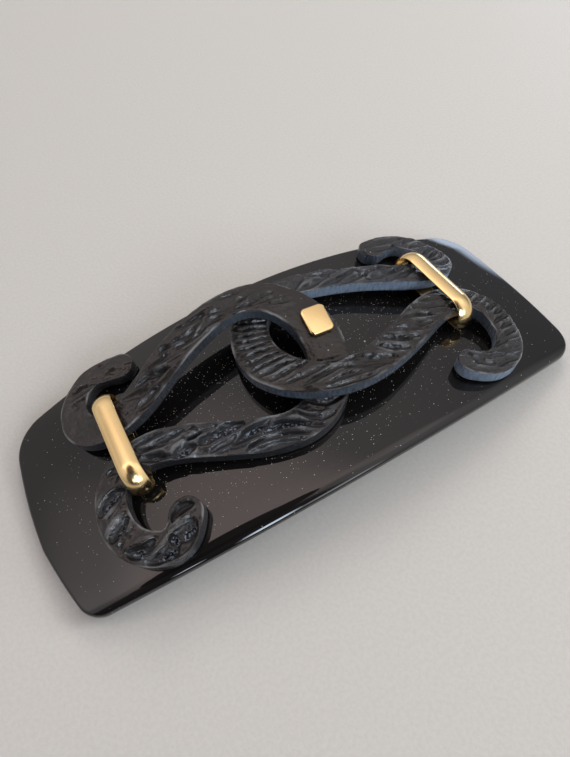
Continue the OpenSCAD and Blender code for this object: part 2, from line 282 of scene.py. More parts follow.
# painted glints: light-blue specks of colour in the deepest cuts
fresh_cut_and_painted_light = between(tree, deep, 0.82, 1.0, 0.0, 1.0)
sparkle = maths(tree, "MULTIPLY", fresh_cut_and_painted_light, between(tree, crumbs, 0.48, 0.68, 0.0, 1.0))
body = blended(tree, sparkle, body, PAINTED_GLINT)
# rims and crests are painted pale, partly as wear and partly as painted highlights
wear_and_highlight_noise = add(tree, "ShaderNodeTexNoise", {"Vector": spot, "Scale": 180.0, "Detail": 3.0}).outputs[0]
worn_and_highlight = maths(tree, "MULTIPLY", rim, between(tree, wear_and_highlight_noise, 0.46, 0.64, 0.0, 0.6))
body = blended(tree, worn_and_highlight, body, WORN_AND_PAINTED_HIGHLIGHT)
specks = add(tree, "ShaderNodeGroup", {"Vector": spot, "Specks per m": 900.0, "Share": 0.12, "Size": 0.12},
             node_tree=dust_group).outputs[0]
body = blended(tree, maths(tree, "MULTIPLY", specks, 0.4), body, LINT)
tree.links.new(body, shader.inputs["Base Color"])
print(resin.name, "has", len(tree.nodes), "nodes for its colour")

# %% [markdown]
# ## Satin resin, gloss and grain
# A groove is duller than the top, apart from the deepest cuts: there the gouge leaves a broken, glossier
# face that catches the light in small points. The haze on the sides is dull. Fine pits roughen it all.

# %% Finish: satin resin, gloss and grain
satin = between(tree, deep, 0.0, 0.7, 0.23, 0.40)
satin = maths(tree, "SUBTRACT", satin, maths(tree, "MAXIMUM", maths(tree, "MULTIPLY", wall, 0.05),
              maths(tree, "MULTIPLY", fresh_cut_and_painted_light, 0.24)))
tree.links.new(maths(tree, "MAXIMUM", satin, maths(tree, "MULTIPLY", haze_and_painted_light, 0.6)), shader.inputs["Roughness"])
shader.inputs["Specular IOR Level"].default_value = 0.4
pits = add(tree, "ShaderNodeTexNoise", {"Vector": spot, "Scale": 1500.0, "Detail": 3.0}).outputs[0]
broken = maths(tree, "MULTIPLY", crumbs, maths(tree, "MULTIPLY", fresh_cut_and_painted_light, 3.0))
bump = add(tree, "ShaderNodeBump", {"Height": maths(tree, "ADD", pits, broken), "Strength": 0.7,
           "Distance": 0.0002})
tree.links.new(bump.outputs[0], shader.inputs["Normal"])
print(resin.name, "has", len(tree.nodes), "nodes in all")

# %% [markdown]
# ## Polished gold
# Plating is a metal with a warm colour. It isn't a perfect mirror: handling leaves a soft, uneven gloss, so
# the smears set its roughness and a soft noise shifts its tone a little.

# %% Finish: polished gold
gold, tree, shader = new_material("polished_gold")
shader.inputs["Metallic"].default_value = 1.0
spot = add(tree, "ShaderNodeTexCoord").outputs["Object"]
tone = add(tree, "ShaderNodeTexNoise", {"Vector": spot, "Scale": 160.0, "Detail": 3.0}).outputs[0]
tree.links.new(blended(tree, between(tree, tone, 0.35, 0.65, 0, 1), (0.92, 0.68, 0.34), (0.88, 0.64, 0.31)),
               shader.inputs["Base Color"])
smear = add(tree, "ShaderNodeGroup", {"Vector": spot, "Scale": 220.0, "Low": 0.19, "High": 0.27},
            node_tree=smear_group).outputs[0]
tree.links.new(smear, shader.inputs["Roughness"])
print(gold.name, "has", len(tree.nodes), "nodes")

# %% [markdown]
# ## Clip steel
# The hidden clip is plain nickelled steel, brushed along its length. A noise that is stretched along X
# draws the brush marks, both as lighter lines and as duller ones.

# %% Finish: clip steel
steel, tree, shader = new_material("clip_steel")
shader.inputs["Metallic"].default_value = 1.0
spot = add(tree, "ShaderNodeTexCoord").outputs["Object"]
drawn = add(tree, "ShaderNodeMapping", {"Vector": spot, "Scale": (60.0, 3500.0, 3500.0)}).outputs[0]
brushed = add(tree, "ShaderNodeTexNoise", {"Vector": drawn, "Scale": 1.0, "Detail": 2.0}).outputs[0]
tree.links.new(blended(tree, brushed, (0.50, 0.50, 0.51), (0.66, 0.66, 0.65)), shader.inputs["Base Color"])
tree.links.new(between(tree, brushed, 0.3, 0.7, 0.24, 0.38), shader.inputs["Roughness"])
print(steel.name, "has", len(tree.nodes), "nodes")

# %% [markdown]
# ## The plate's outline
# The plate is sawn from acetate sheet, with bowed long sides, gently bowed ends and rounded corners. A
# quarter of the outline is three arcs that touch, so one rule draws all four. The left end is sawn a little
# askew, and its near corner is tighter than the others.

# %% Draw the outline of the plate
PLATE_LENGTH, PLATE_WIDTH = 103.8, 45.0
SIDE_BOW, END_BOW = 4.0, 2.5
CORNER_RADIUS, NEAR_CORNER_RADIUS = 7.0, 4.0
END_FLAT, NEAR_CUT, FAR_SHARE = 8.0, 2.0, 0.15
SIDE_RADIUS = ((PLATE_LENGTH / 2) ** 2 + SIDE_BOW ** 2) / (2 * SIDE_BOW)
END_RADIUS = ((PLATE_WIDTH / 2) ** 2 + END_BOW ** 2) / (2 * END_BOW)
side_centre = Vector((0, PLATE_WIDTH / 2 - SIDE_RADIUS))
end_centre = Vector((PLATE_LENGTH / 2 - END_RADIUS, 0))


def plate_quarter(corner_radius):
    """Points of a quarter of the outline: long side, corner and end, each an arc."""
    gap = end_centre - side_centre
    side_reach, end_reach = SIDE_RADIUS - corner_radius, END_RADIUS - corner_radius
    along = (side_reach ** 2 - end_reach ** 2 + gap.length_squared) / (2 * gap.length)
    across = math.sqrt(side_reach ** 2 - along ** 2)
    way = gap.normalized()
    corner = side_centre + along * way + across * Vector((way.y, -way.x))
    turn = [math.pi / 2, math.atan2(*(corner - side_centre).yx), math.atan2(*(corner - end_centre).yx), 0]
    arcs = [(side_centre, SIDE_RADIUS, 40), (corner, corner_radius, 20), (end_centre, END_RADIUS, 16)]
    for (centre, radius, steps), start, stop in zip(arcs, turn, turn[1:]):
        for angle in np.linspace(start, stop, steps, endpoint=False):
            yield centre.x + radius * math.cos(angle), centre.y + radius * math.sin(angle)


def askew(x, y):
    """The left end is sawn a little askew: its near corner is further back than its far one."""
    reach = max(0, abs(y) - END_FLAT / 2) / (PLATE_WIDTH / 2 - END_FLAT / 2)
    share = (reach if y < 0 else FAR_SHARE * reach) * max(0, -x) / (PLATE_LENGTH / 2)
    return x + NEAR_CUT * share, y


outline = []
for sx, sy in ((1, 1), (1, -1), (-1, 1), (-1, -1)):
    for x, y in plate_quarter(NEAR_CORNER_RADIUS if sx + sy < 0 else CORNER_RADIUS):
        if x > 1e-6 or sx > 0:
            outline.append((x * sx, y * sy))
outline += [(PLATE_LENGTH / 2, 0), (-PLATE_LENGTH / 2, 0)]
outline = [askew(x, y) for x, y in outline]
print("plate outline has", len(outline), "points")

# %% [markdown]
# ## The sheet
# The sheet's upper rim is eased to a small round and its lower rim to a wide one. We could bevel a slab,
# but the polish shows every uneven face, so we build the rims ring by ring. A circle gets its points moved
# onto the outline, once facing up and once down. Insets that also rise make the rounds, and wider ones
# follow on the flat, so that the sides can be rolled.

# %% Model the flat sheet
TOP_FILLET, UNDER_FILLET = 0.4, PLATE_THICK / 2
FILLET_STEPS = 8
FLAT_RINGS = (0.1, 0.15, 0.2, 0.25, 0.3, 0.4, 0.5, 0.6)
plate_bm = bmesh.new()
bmesh.ops.create_circle(plate_bm, cap_ends=True, segments=len(outline), radius=1)
by_angle = sorted(outline, key=lambda p: math.atan2(p[1], p[0]))
for vert, place in zip(sorted(plate_bm.verts, key=lambda v: math.atan2(v.co.y, v.co.x)), by_angle):
    vert.co = (*place, 0)
bmesh.ops.duplicate(plate_bm, geom=plate_bm.verts[:] + plate_bm.edges[:] + plate_bm.faces[:])
for face, height in zip(plate_bm.faces, (1, -1)):
    face.normal_update()
    if face.normal.z * height < 0:
        face.normal_flip()
plate_bm.faces.ensure_lookup_table()


def inset(faces, width, rise):
    bmesh.ops.inset_region(plate_bm, faces=faces, use_boundary=True, use_even_offset=True,
                           thickness=width, depth=rise)


angles = [math.pi / 2 * i / FILLET_STEPS for i in range(FILLET_STEPS + 1)]
for face, fillet in ((plate_bm.faces[0], TOP_FILLET), (plate_bm.faces[1], UNDER_FILLET)):
    if fillet < PLATE_THICK / 2:
        inset([face], 0.001, PLATE_THICK / 2 - fillet)
    for lower, upper in zip(angles, angles[1:]):
        inset([face], fillet * (math.cos(lower) - math.cos(upper)),
              fillet * (math.sin(upper) - math.sin(lower)))
    for width in FLAT_RINGS:
        inset([face], width, 0)
print("the flat sheet has", len(plate_bm.faces), "faces before its cuts")

# %% [markdown]
# ## Cuts across the sheet
# Only vertices can move, so the large flat faces need some before the sheet bends. Straight cuts are
# better here than subdividing, because they leave the rims as they are. They lie closer near the sides,
# where the roll begins.

# %% Cut across the sheet, so that it can bend
CUT_STEP = 1.25
CUTS_FROM_MIDDLE = (8, 12, 14.5, 16, 17, 18, 18.8)


def cut_across(bm, place, direction):
    everything = bm.verts[:] + bm.edges[:] + bm.faces[:]
    bmesh.ops.bisect_plane(bm, geom=everything, dist=1e-4, plane_co=place, plane_no=direction)


for x in np.arange(-50, 51, CUT_STEP):
    cut_across(plate_bm, (x, 0, 0), (1, 0, 0))
for y in CUTS_FROM_MIDDLE:
    for side in (1, -1):
        cut_across(plate_bm, (0, side * y, 0), (0, 1, 0))
bmesh.ops.remove_doubles(plate_bm, verts=plate_bm.verts[:], dist=1e-4)
bmesh.ops.recalc_face_normals(plate_bm, faces=plate_bm.faces[:])
print("the flat sheet has", len(plate_bm.faces), "faces after its cuts")

# %% [markdown]
# ## Roll the sides off and bend the sheet
# A buffing wheel rolls the long sides down a little, more in one place than in another, and the near side
# got a second, narrower pass. On a mirror this decides where the dark reflections run. A drop that grows
# towards the side lowers the upper face only. The bend keeps the X of the upper half, so the plate keeps
# its length, and the lower half follows the arch as the CAD solid does.

# %% Roll the sides off and bend the sheet
ROLL_WIDTH, ROLL_DROP = 5.0, 0.32
BUFF_WIDTH, BUFF_DROP = 1.8, 0.6
# columns: place along the plate, share of the roll that the buffing wheel left there
ROLL_SHARE = [(-52, 0.5), (-40, 0.6), (-28, 1.0), (-18, 1.0), (-5, 0.65), (5, 0.4), (52, 0.4)]
for vert in plate_bm.verts:
    x, y, z = vert.co
    from_side = math.sqrt(SIDE_RADIUS ** 2 - x ** 2) + side_centre.y - abs(y)
    drop = ROLL_DROP * looked_up(ROLL_SHARE, x) * max(0, 1 - from_side / ROLL_WIDTH) ** 2
    if y < 0:
        drop += BUFF_DROP * max(0, 1 - from_side / BUFF_WIDTH) ** 2
    if z > 0:
        z *= 1 - drop / (PLATE_THICK / 2)
        vert.co.z = ARCH_Z + math.sqrt((ARCH_RADIUS + z) ** 2 - x ** 2)
    else:
        vert.co = Vector(over_arch(ARCH_RADIUS, np.float64(x), y, z))
finish_piece("plate_sheet", plate_bm, acetate, "plate")

# %% [markdown]
# ## The bands
# Each loop is one band that wanders over the plate, over the other one here and under it there. A curve
# with a bevel could make it, but its width, height and carving all change on the way. So its route is a
# table of control rows, and a B-spline makes a smooth line of them. The rows come from a fit of that line
# to the bands' edges in the photograph, rounded and in places corrected. The right one is drawn as
# the left one lies, and is then turned half round.

# %% Routes of the two bands
# columns: x, y, height of the top edges over the plate, width
LEFT_ROUTE = np.array([
    (-25.5, 16, 2.9, 5.4), (-31.5, 18.5, 3, 4.2), (-35.5, 17, 3.1, 4), (-38, 13.5, 3.4, 4.8),
    (-38, 8.5, 3.7, 5.4), (-34.5, 6, 4.1, 5.8), (-28, 6.5, 4.7, 5.8), (-21.5, 9.5, 6.4, 6),
    (-14, 12, 8.2, 6), (-6.5, 13.5, 8.7, 5.4), (0, 11.5, 7.8, 6.8), (4, 5.5, 6, 7.2), (4, -2, 4, 7),
    (0, -9, 2.8, 6.6), (-6.5, -12, 2.7, 6), (-14.5, -9.5, 2.9, 6), (-22.5, -4.5, 3.6, 6),
    (-30, -1, 4.2, 6), (-36.8, -2.7, 4, 5), (-39, -8.5, 3.6, 5.2), (-38, -14, 3.1, 5),
    (-34, -17.5, 2.8, 5.4), (-30.5, -17, 2.8, 5.8), (-27.5, -12, 2.8, 5)])
RIGHT_ROUTE = np.array([
    (-22.5, 13.5, 3.2, 5), (-27, 17.5, 2.8, 5.2), (-32.5, 16.5, 2.8, 5), (-36, 12.5, 3.2, 4.6),
    (-36.5, 6.5, 3.9, 4.6), (-33.5, 2.5, 4.4, 5.2), (-27, 1.5, 4.8, 6.2), (-19.5, 5, 5.5, 6.4),
    (-11, 8.5, 6.1, 6), (-3.5, 9.5, 6.3, 5.4), (3, 6.5, 6.2, 6), (7, 1, 5.4, 7.4), (7.5, -6, 4.5, 7),
    (3.5, -13, 4, 6), (-3.5, -15.5, 3.9, 5), (-12, -13.2, 4, 4.5), (-20.5, -9.8, 4.6, 4.6),
    (-28, -6, 4.7, 5.2), (-34, -6, 4.5, 5.2), (-36.5, -8.5, 4.2, 5), (-35.5, -13, 3.8, 4.5),
    (-33, -17, 3.4, 4), (-29.5, -18.5, 3, 4), (-24, -17, 2.8, 5.8)])


def spline(rows, t):
    """Uniform cubic B-spline through a table's rows, at the row numbers t."""
    padded = np.vstack([2 * rows[0] - rows[1], rows, 2 * rows[-1] - rows[-2]])
    i = np.clip(np.floor(t).astype(int), 0, len(rows) - 2)
    f = (t - i)[..., None]
    weights = ((1 - f) ** 3, 3 * f ** 3 - 6 * f ** 2 + 4, -3 * f ** 3 + 3 * f ** 2 + 3 * f + 1, f ** 3)
    return sum(w * padded[i + k] for k, w in enumerate(weights)) / 6


def stations(rows, step):
    """Row numbers along a route, a step apart in mm and closer at the tips, the distance travelled to
    each, and the share of the full width there, which falls to 0 at both tips."""
    dense_t = np.linspace(0, len(rows) - 1, 4000)
    dense = spline(rows, dense_t)
    travelled = np.concatenate([[0], np.cumsum(np.hypot(*np.diff(dense[:, :2], axis=0).T))])
    total, first, last = travelled[-1], dense[0, 3] / 2, dense[-1, 3] / 2
    tip = 1 - np.cos(np.linspace(0, math.pi / 2, 16))
    body = np.linspace(first, total - last, int((total - first - last) / step))
    distance = np.concatenate([first * tip[:-1], body, total - last * tip[:-1][::-1]])
    closing = np.minimum(np.clip(distance / first, 0, 1), np.clip((total - distance) / last, 0, 1))
    return np.interp(distance, travelled, dense_t), distance, np.sqrt(1 - (1 - closing) ** 2)


for name, rows in (("left", LEFT_ROUTE), ("right", RIGHT_ROUTE)):
    print(name, "route is", round(stations(rows, 1)[1][-1], 1), "mm long")

# %% [markdown]
# ## Section of a band
# A band is sawn from sheet, so its sides are upright and its foot is flat. Its top rims are eased. Most of
# the points lie on the top, because that is where the carving goes.

# %% Section of a band
BAND_THICK = 2.6
BAND_CROWN = 0.25


def band_section():
    """Places round the section, clockwise from the top left: place across, and level from 0 to 1."""
    top = [(across, 1.0) for across in np.linspace(-0.95, 0.95, 36)]
    edge = [(0.95 + 0.05 * math.sin(a), 1 - 0.06 * (1 - math.cos(a))) for a in np.radians([30, 60, 90])]
    wall = [(1.0, level) for level in np.linspace(0.94, 0.08, 8)[1:]]
    foot = [(0.93, 0.0), (0.3, 0.0), (-0.3, 0.0), (-0.93, 0.0)]
    left_wall = [(-x, level) for x, level in reversed(edge + wall)]
    return np.array(top + edge + wall + foot + left_wall + top[:1])


section = band_section()
print("a band's section has", len(section) - 1, "points")

# %% [markdown]
# ## Carving
# The tops of the bands are carved in long strokes, like twisted rope. A texture could fake it, but real
# grooves also shade each other and show from the side. Each stroke of the gouge is a row: where it starts
# and ends (distance along the route, place left of its middle), how far its middle bows to the left, its
# width and its depth.

# %% Strokes of the gouge on the left band
# columns: start along, start across, end along, end across, bow, width, depth
LEFT_STROKES = [
    (2, 1.4, 8, 0.6, 0.4, 1.6, 0.15), (3, -0.6, 9, -1.2, 0.3, 1.4, 0.12), (9, 1.6, 13, -1.6, 0.3, 1.3, 0.14),
    (12.5, 1.8, 15.5, -1.4, 0.2, 1.2, 0.12), (16, 1.6, 19.5, -1.2, 0.3, 1.6, 0.12),
    (28, 1.8, 33, -2.2, 0.3, 1.0, 0.22), (31, 1.6, 37, -1.8, 0.5, 0.9, 0.42),
    (33, -0.4, 37, -1.4, 0.1, 1.1, 0.35), (34, 1.8, 40.5, -1.6, 0.3, 0.8, 0.3),
    (37.8, 2.0, 39.8, 0.8, 0.1, 0.9, 0.4), (38, 0.8, 46, -1.8, -0.5, 0.9, 0.3),
    (40.5, 1.2, 46.5, 0.4, -1.2, 0.8, 0.34), (42, 2.4, 49, 0.8, -0.5, 0.9, 0.25),
    (29, -1.6, 34, -2.2, 0.1, 0.8, 0.3), (44, -1.4, 50.5, -2.0, 0.3, 1.1, 0.25),
    (46, 1.0, 56.5, 1.4, -1.8, 0.9, 0.32), (47, 0.2, 59, 1.8, -2.4, 1.0, 0.34),
    (49, -1.2, 61, 1.6, -1.8, 0.9, 0.26), (50, 2.2, 55, 2.4, -0.8, 0.7, 0.25),
    (57.5, -1.6, 62, 1.8, -0.8, 0.8, 0.2), (61, -2.2, 63.6, 2.2, -0.4, 0.7, 0.16),
    (73.8, 2.6, 74.6, -2.2, 0.3, 0.7, 0.16), (75.4, 2.8, 77.4, -2.4, 0.5, 0.8, 0.3),
    (77, 2.6, 80, -2.2, 0.8, 0.9, 0.36), (79.5, 2.8, 83.5, -2.6, 0.8, 0.9, 0.4),
    (82.6, 2.6, 87, -2.6, 0.9, 0.9, 0.42), (85.2, 2.6, 92.5, -1.4, -1.2, 1.1, 0.5),
    (86, 0.6, 98.6, 1.4, -1.9, 1.5, 0.75), (87.2, 2.4, 96.5, 2.4, -1.7, 0.9, 0.5),
    (88.5, 2.6, 96, 2.9, -0.2, 1.2, 0.4), (88, -2.4, 97, -0.6, -0.6, 0.9, 0.35),
    (92, -2.6, 102, 2.4, -0.3, 1.0, 0.45), (96.6, -2.6, 103.8, 0.9, -0.2, 1.7, 0.8),
    (104, 1.0, 108, 2.8, -0.1, 1.5, 0.7), (101, -2.2, 107.5, 1.6, -0.3, 0.7, 0.34),
    (103.4, -1.4, 106.6, -0.8, 1.0, 0.6, 0.3), (103.8, -1.0, 106, -1.4, -0.9, 0.6, 0.28),
    (106, -1.9, 112, -0.2, 0.3, 0.9, 0.4), (107.6, -0.2, 113.8, -0.6, 0.6, 0.7, 0.34),
    (109, 1.8, 113.6, 1.2, 0.3, 1.2, 0.5), (107.5, 2.4, 111, 2.6, -0.2, 0.7, 0.3),
    (109, -2.0, 114, -1.6, 0.1, 0.8, 0.3), (114.5, 1.4, 118.5, -1.6, 0.2, 1.0, 0.35),
    (119.7, 2.2, 123.6, -2.1, 0.3, 1.5, 0.7), (121.8, 2.0, 124.6, -0.8, 0.2, 0.6, 0.3),
    (124.6, 2.2, 126.2, -1.2, 0.2, 0.6, 0.26), (125.8, 2.1, 127.3, -2.1, 0.4, 1.4, 0.65),
    (128.2, 2.0, 129.0, -1.8, -0.2, 0.6, 0.22), (133.4, 1.3, 129.9, -1.8, 0.3, 1.5, 0.65),
    (134.2, 1.0, 131.6, -1.6, 0.2, 0.6, 0.34), (137.2, 1.0, 132.8, -2.1, 0.4, 1.6, 0.6),
    (136.0, 0.8, 140.2, -1.7, 0.2, 1.8, 0.65), (134.6, -1.7, 139.4, -1.9, 0.4, 1.6, 0.55),
    (139.4, 2.0, 142.6, -0.9, 0.7, 1.4, 0.65), (137.6, 2.0, 140.6, -1.0, 0.5, 0.6, 0.26)]
print(len(LEFT_STROKES), "strokes on the left band")

# %% [markdown]
# ## The right band's carving
# It has the same kind of strokes. Round its bend they stand square to the route and close together, and on
# the arms they lean.

# %% Strokes of the gouge on the right band
# columns: start along, start across, end along, end across, bow, width, depth
RIGHT_STROKES = [
    (1.2, 1.8, 5.4, 1.6, -1.3, 1.3, 0.35), (2.2, -1.4, 7, -1.0, 1.0, 0.9, 0.24),
    (5, 0.8, 12.6, -2.0, 1.3, 0.9, 0.3), (6.4, -1.2, 10.6, -2.2, 0.6, 0.9, 0.3),
    (5, 2.0, 13.4, -2.1, 1.6, 0.9, 0.28), (9.5, 2.2, 15.1, -2.2, 1.4, 0.8, 0.32),
    (13, 2.0, 16.5, -2.3, 0.6, 0.9, 0.36), (16.1, 1.4, 17.8, -2.3, 0.3, 0.8, 0.36),
    (18.1, 1.8, 19.3, -2.3, 0.2, 0.9, 0.4), (19.8, 0.9, 20.6, -2.3, 0.1, 0.8, 0.38),
    (21.4, 1.6, 21.7, -2.3, 0.1, 0.9, 0.38), (23.1, 1.0, 22.6, -2.3, -0.1, 0.8, 0.32),
    (25.3, 1.8, 23.6, -2.2, -0.2, 0.9, 0.34), (27, 0.6, 24.8, -2.1, -0.2, 0.8, 0.3),
    (31, 2.2, 37.5, 0.8, 0.3, 1.0, 0.3), (32, 1.4, 38, -2.4, 0.3, 1.3, 0.35),
    (31.5, -0.6, 35.5, -2.4, 0.2, 0.9, 0.3), (36.6, 1.6, 41.4, -2.4, -0.2, 1.1, 0.5),
    (38.4, 2.2, 42.6, -0.6, 0.1, 1.0, 0.4), (40.6, 2.4, 44.8, -2.4, 0.2, 1.1, 0.42),
    (43.4, 2.2, 46.0, -0.4, 0.1, 0.8, 0.4), (45, 1.6, 48, -2.6, 0.2, 1.2, 0.5),
    (46.6, 2.4, 50.6, -2.4, 0.3, 1.0, 0.45), (49.4, 2.4, 62, -2.6, -1.7, 1.0, 0.42),
    (50.6, 2.2, 58.4, -1.0, -0.7, 1.3, 0.55), (52, 1.9, 61.5, 1.5, -0.9, 0.9, 0.42),
    (57, -1.6, 65, 2.4, -0.9, 0.8, 0.34), (60, -2.4, 67.4, 2.4, -0.6, 0.8, 0.28),
    (54, 2.4, 62, 2.5, -0.4, 0.7, 0.25), (64.6, -2.8, 69.2, 2.6, -0.6, 0.9, 0.36),
    (67.4, -3.0, 71.0, 2.8, -0.4, 0.9, 0.38), (69.8, -3.2, 72.4, 3.0, -0.2, 0.8, 0.38),
    (72.0, -3.2, 73.9, 3.0, 0.1, 0.9, 0.4), (74.4, -3.2, 75.3, 3.0, 0.3, 0.8, 0.38),
    (76.4, -3.2, 76.7, 3.0, 0.4, 0.8, 0.38), (78.2, -3.2, 78.1, 3.0, 0.5, 0.8, 0.38),
    (79.9, -3.1, 79.4, 3.0, 0.6, 0.8, 0.38), (81.6, -3.0, 80.8, 2.9, 0.6, 0.8, 0.36),
    (83.3, -2.9, 82.1, 2.8, 0.6, 0.8, 0.34), (85.6, -2.4, 84, 2.6, 0.4, 0.9, 0.25),
    (88, -2.2, 91.5, 2.4, -0.3, 1.4, 0.18), (92, -2.2, 97.6, 2.0, -0.3, 1.2, 0.2),
    (95.4, -1.8, 102, 0.8, -0.3, 1.0, 0.34), (97.6, 1.2, 104.4, 2.2, -0.4, 1.0, 0.36),
    (99.4, -2.0, 107.4, 2.2, -0.7, 1.0, 0.42), (103.6, -1.8, 110.4, 1.4, -0.5, 0.9, 0.34),
    (106.6, 1.2, 109.2, -1.6, 0.1, 0.8, 0.3), (108.4, -1.4, 116.6, 2.0, -0.6, 1.1, 0.46),
    (110.4, 1.8, 114.6, 1.0, -0.5, 1.2, 0.42), (112, -2.0, 118.4, 0.8, -0.3, 0.9, 0.34),
    (122.6, 1.4, 126.8, -2.0, 0.2, 0.9, 0.36), (124.8, 2.0, 128.2, -2.0, 0.3, 0.8, 0.36),
    (127.2, 2.2, 129.0, -1.8, 0.2, 0.9, 0.4), (129.6, 2.0, 129.9, -2.0, 0.1, 0.9, 0.4),
    (133.6, 1.8, 131.0, -1.8, 0.2, 1.1, 0.42), (135.4, 0.9, 133.2, -1.9, 0.3, 0.8, 0.32),
    (135, -1.2, 143.6, -1.2, 1.3, 0.9, 0.32), (137, 1.6, 143.8, 0.6, 0.4, 1.0, 0.24)]
print(len(RIGHT_STROKES), "strokes on the right band")

# %% [markdown]
# ## What a stroke does
# A gouge cuts a round trough, shallow at both ends, and throws up a low lip along each side. All strokes
# add up, lips as well, and slow noise makes the hand that led them uneven. Where a lip stands clear of
# every trough it is a crest, which the finish paints pale, partly as wear and partly as a painted highlight.

# %% Cut the relief
def stroke_shape(along, across, stroke):
    """How deep one stroke cuts at places on a band, and how high the lip stands that it throws up."""
    start, end, (bow, width, depth) = np.array(stroke[:2]), np.array(stroke[2:4]), stroke[4:]
    way = end - start
    length = np.hypot(*way)
    p = ((along - start[0]) * way[0] + (across - start[1]) * way[1]) / length ** 2
    off = ((across - start[1]) * way[0] - (along - start[0]) * way[1]) / length - 4 * bow * p * (1 - p)
    taper = np.sin(math.pi * np.clip(p, 0, 1)) ** 0.3
    q = np.abs(off) / np.maximum(0.8 * width * taper, 1e-6)
    trough = np.clip(1 - q ** 2, 0, 1) ** 1.5
    lip = np.exp(-((q - 1.2) / 0.4) ** 2)
    return np.array([trough, lip]) * depth * taper * ((p > 0) & (p < 1))


CARVED_LEVEL, CUT_GAIN, LIP_SHARE = -0.28, 1.6, 0.3


def relief(along, across, strokes, wander):
    """Height of the carved top over its plain surface, in mm, and how far each place is a crest."""
    cut, lip = sum(stroke_shape(along, across, stroke) for stroke in strokes)
    lumps = np.array([0.30 * noise.noise(Vector((a * 0.30 + wander, c * 0.55 + a * 0.1, wander)))
                      + 0.14 * noise.noise(Vector((a * 0.6, c * 1.3 + a * 0.2, wander + 3)))
                      + 0.04 * noise.noise(Vector((a * 1.7, c * 3.0, wander + 7)))
                      for a, c in zip(along, across)])
    height = CARVED_LEVEL - CUT_GAIN * (cut - LIP_SHARE * lip) + lumps
    return np.array([height, np.clip(2.5 * (lip - cut) - 0.2, 0, 1)])


middles = np.array([[(s[0] + s[2]) / 2, (s[1] + s[3]) / 2] for s in LEFT_STROKES]).T
heights, crests = relief(*middles, LEFT_STROKES, 3.0)
print("the left band's cuts reach", round(-heights.min(), 2), "mm down in their middles")

# %% [markdown]
# ## Model a band
# A grid becomes the band: one way runs along the route and the other runs round the section. Each vertex
# moves to its place, the relief lowers the top, and the marks for the finish, painted light and shade among
# them, are written beside it. Then the seam and the tips are merged shut. The top stays plain where
# something is seated on it.

# %% Model a band
STEP = 0.2
SEAT_REACH = 0.55


def model_band(name, node, rows, strokes, haze_and_painted_light, painted_sheen, fresh_cut_and_painted_light, turned, seat_row=None):
    t, distance, closing = stations(rows, STEP)
    bm = bmesh.new()
    bm.loops.layers.uv.new("band")
    bmesh.ops.create_grid(bm, x_segments=len(t) - 1, y_segments=len(section) - 1, size=1, calc_uvs=True)
    share = np.array([v.co.xy for v in bm.verts]) / 2 + 0.5
    along = np.rint(share[:, 0] * (len(t) - 1)).astype(int)
    round_it = np.rint(share[:, 1] * (len(section) - 1)).astype(int)
    row = spline(rows, t)
    ahead = spline(rows, np.minimum(t + 0.01, len(rows) - 1)) - spline(rows, np.maximum(t - 0.01, 0))
    way = ahead[:, :2] / np.linalg.norm(ahead[:, :2], axis=1, keepdims=True)
    left = np.stack([-way[:, 1], way[:, 0]], -1)
    across, level = section[round_it].T
    half = (row[:, 3] / 2 * closing)[along]
    spot = row[along, :2] + (across * half)[:, None] * left[along]
    worked = 1.0 if seat_row is None else np.clip(np.abs(t[along] - seat_row) / SEAT_REACH - 0.8, 0, 1)
    reach = np.clip(level * 5 - 4, 0, 1)
    carved, crests = relief(distance[along], across * half, strokes, 3.0 + turned) * worked
    crown = BAND_CROWN * (1 - across ** 2)
    height = row[along, 2] - BAND_THICK * (1 - level) + reach * np.minimum(carved + crown, crown)
    place = over_arch(TOP_RADIUS, spot[:, 0], spot[:, 1], height)
    if turned:
        place[:, :2] *= -1
    deep, rim, side, wall = (bm.verts.layers.float.new(mark) for mark in ("deep", "rim", "side", "wall"))
    # pale rims and crests, partly wear and partly painted highlights
    rims = np.clip((np.abs(across) - 0.86) / 0.09, 0, 1) * np.clip((level - 0.8) / 0.14, 0, 1)
    rims = np.maximum(rims, 0.7 * crests * reach)
    walls = np.clip((0.96 - level) / 0.04, 0, 1)
    # painted light by row: the sides' haze, stronger where light falls, and a painted sheen on some tops
    hazes_and_painted_light = walls * looked_up(haze_and_painted_light, t[along]) + reach * looked_up(painted_sheen, t[along])
    # depth of the cuts, scaled by row; it sets painted shade and painted glints as well as the gloss
    cuts = np.clip((-0.3 - carved) / 0.95, 0, 1) * reach * looked_up(fresh_cut_and_painted_light, t[along])
    for vert, co, *marks in zip(bm.verts, place, cuts, rims, hazes_and_painted_light, walls):
        vert.co = co
        vert[deep], vert[rim], vert[side], vert[wall] = marks
    bmesh.ops.remove_doubles(bm, verts=bm.verts[:], dist=0.004)
    bmesh.ops.recalc_face_normals(bm, faces=bm.faces[:])
    finish_piece(name, bm, resin, node)


# %% [markdown]
# ## Model both bands
# Haze, painted light and the look of the cuts differ along a band, as light and hand find some places and
# not others: the sawn sides are painted lighter where window light falls on them, some tops get a painted
# sheen, and the freshest cuts get the most painted shade and painted glints. Small tables say how much of
# each effect a place gets, by the row of the route.

# %% Model both bands
PLAQUE_ROW = 11.3
# columns: row of the route, bluish haze and painted window light on the sawn sides there
LEFT_HAZE_AND_PAINTED_LIGHT = [(0, 0.05), (8, 0.1), (9, 0.25), (11, 0.2), (12, 0.1), (16, 0.04), (20, 0.05), (23, 0.08)]
RIGHT_HAZE_AND_PAINTED_LIGHT = [(0, 0.9), (2, 0.9), (4, 0.15), (7, 0.3), (11, 0.3), (13, 0.5), (14, 1.1), (19, 1.2), (23, 0.3)]
